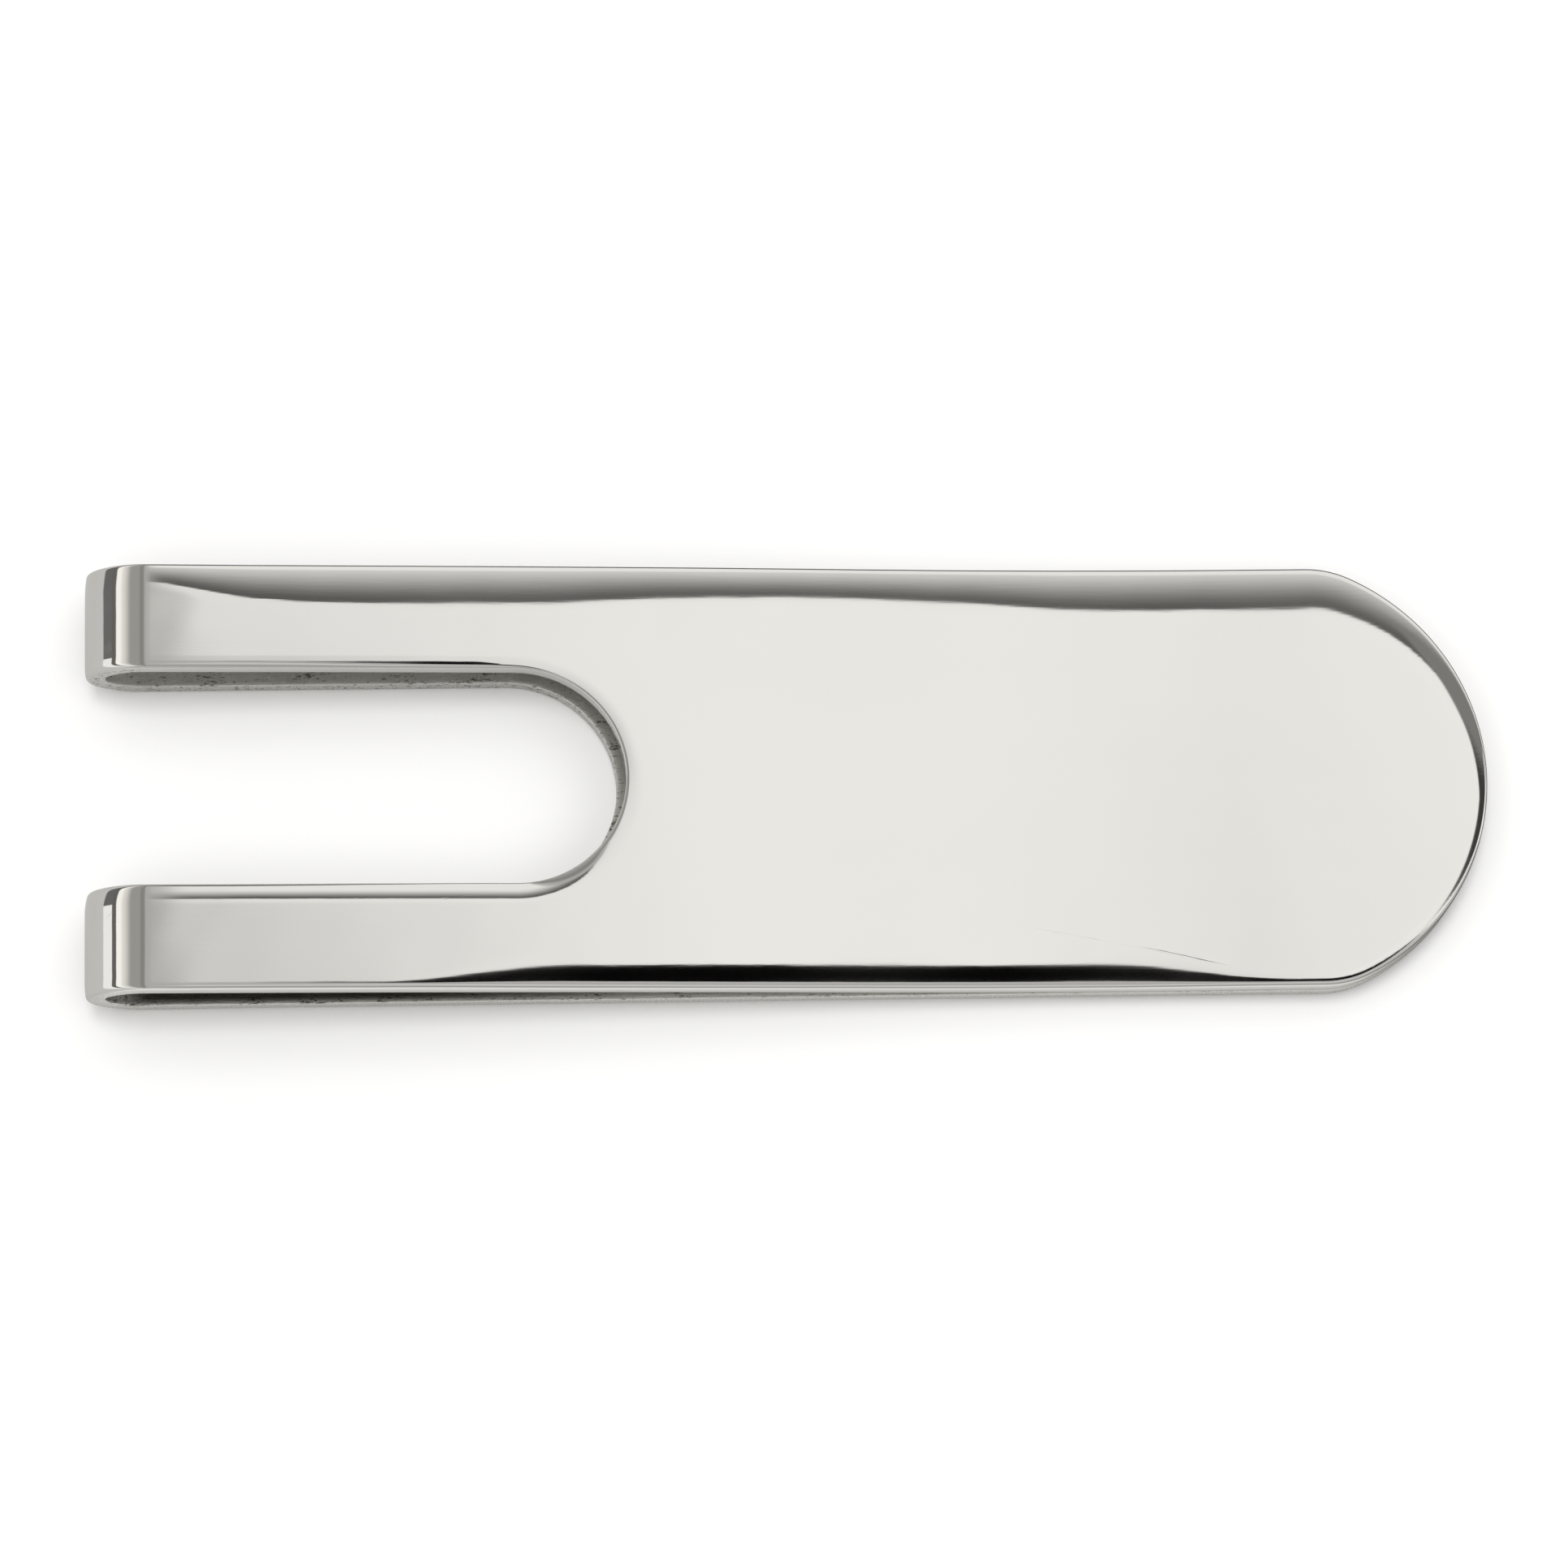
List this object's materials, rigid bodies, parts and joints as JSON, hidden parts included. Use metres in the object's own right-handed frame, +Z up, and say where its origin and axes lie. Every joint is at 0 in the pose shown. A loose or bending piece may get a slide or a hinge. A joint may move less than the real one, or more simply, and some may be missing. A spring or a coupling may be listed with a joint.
{
  "type": "money clip",
  "caption": "Forked strip of polished spring steel sheet, folded through its legs so that a round-ended front leaf presses on a matching back leaf and grips folded notes.",
  "frame": {"origin": "under the middle of the clip, on the plane that the back leaf lies on", "axes": "+X from the folds to the round mouth end, +Y across the strip to the left leg, +Z up from the back leaf to the front leaf"},
  "size_m": [0.055, 0.017, 0.0037],
  "materials": {
    "polished_steel": "mirror-polished stainless spring steel outside, unpolished satin on the two faces that grip the notes"
  },
  "bodies": {
    "back": {"back_leaf": "polished_steel", "back_leg_left": "polished_steel", "back_leg_right": "polished_steel", "fold_left": "polished_steel", "fold_right": "polished_steel"},
    "front": {"front_leaf": "polished_steel", "front_leg_left": "polished_steel", "front_leg_right": "polished_steel"}
  },
  "joints": [
    {"name": "mouth_opening", "type": "hinge", "parent": "back", "child": "front", "pos_m": [-0.02525, 0, 0.00185], "axis": [0, -1, 0], "range_deg": [0, 5], "stiffness_Nm_per_rad": 2, "deforming": ["fold_left", "fold_right"]}
  ]
}
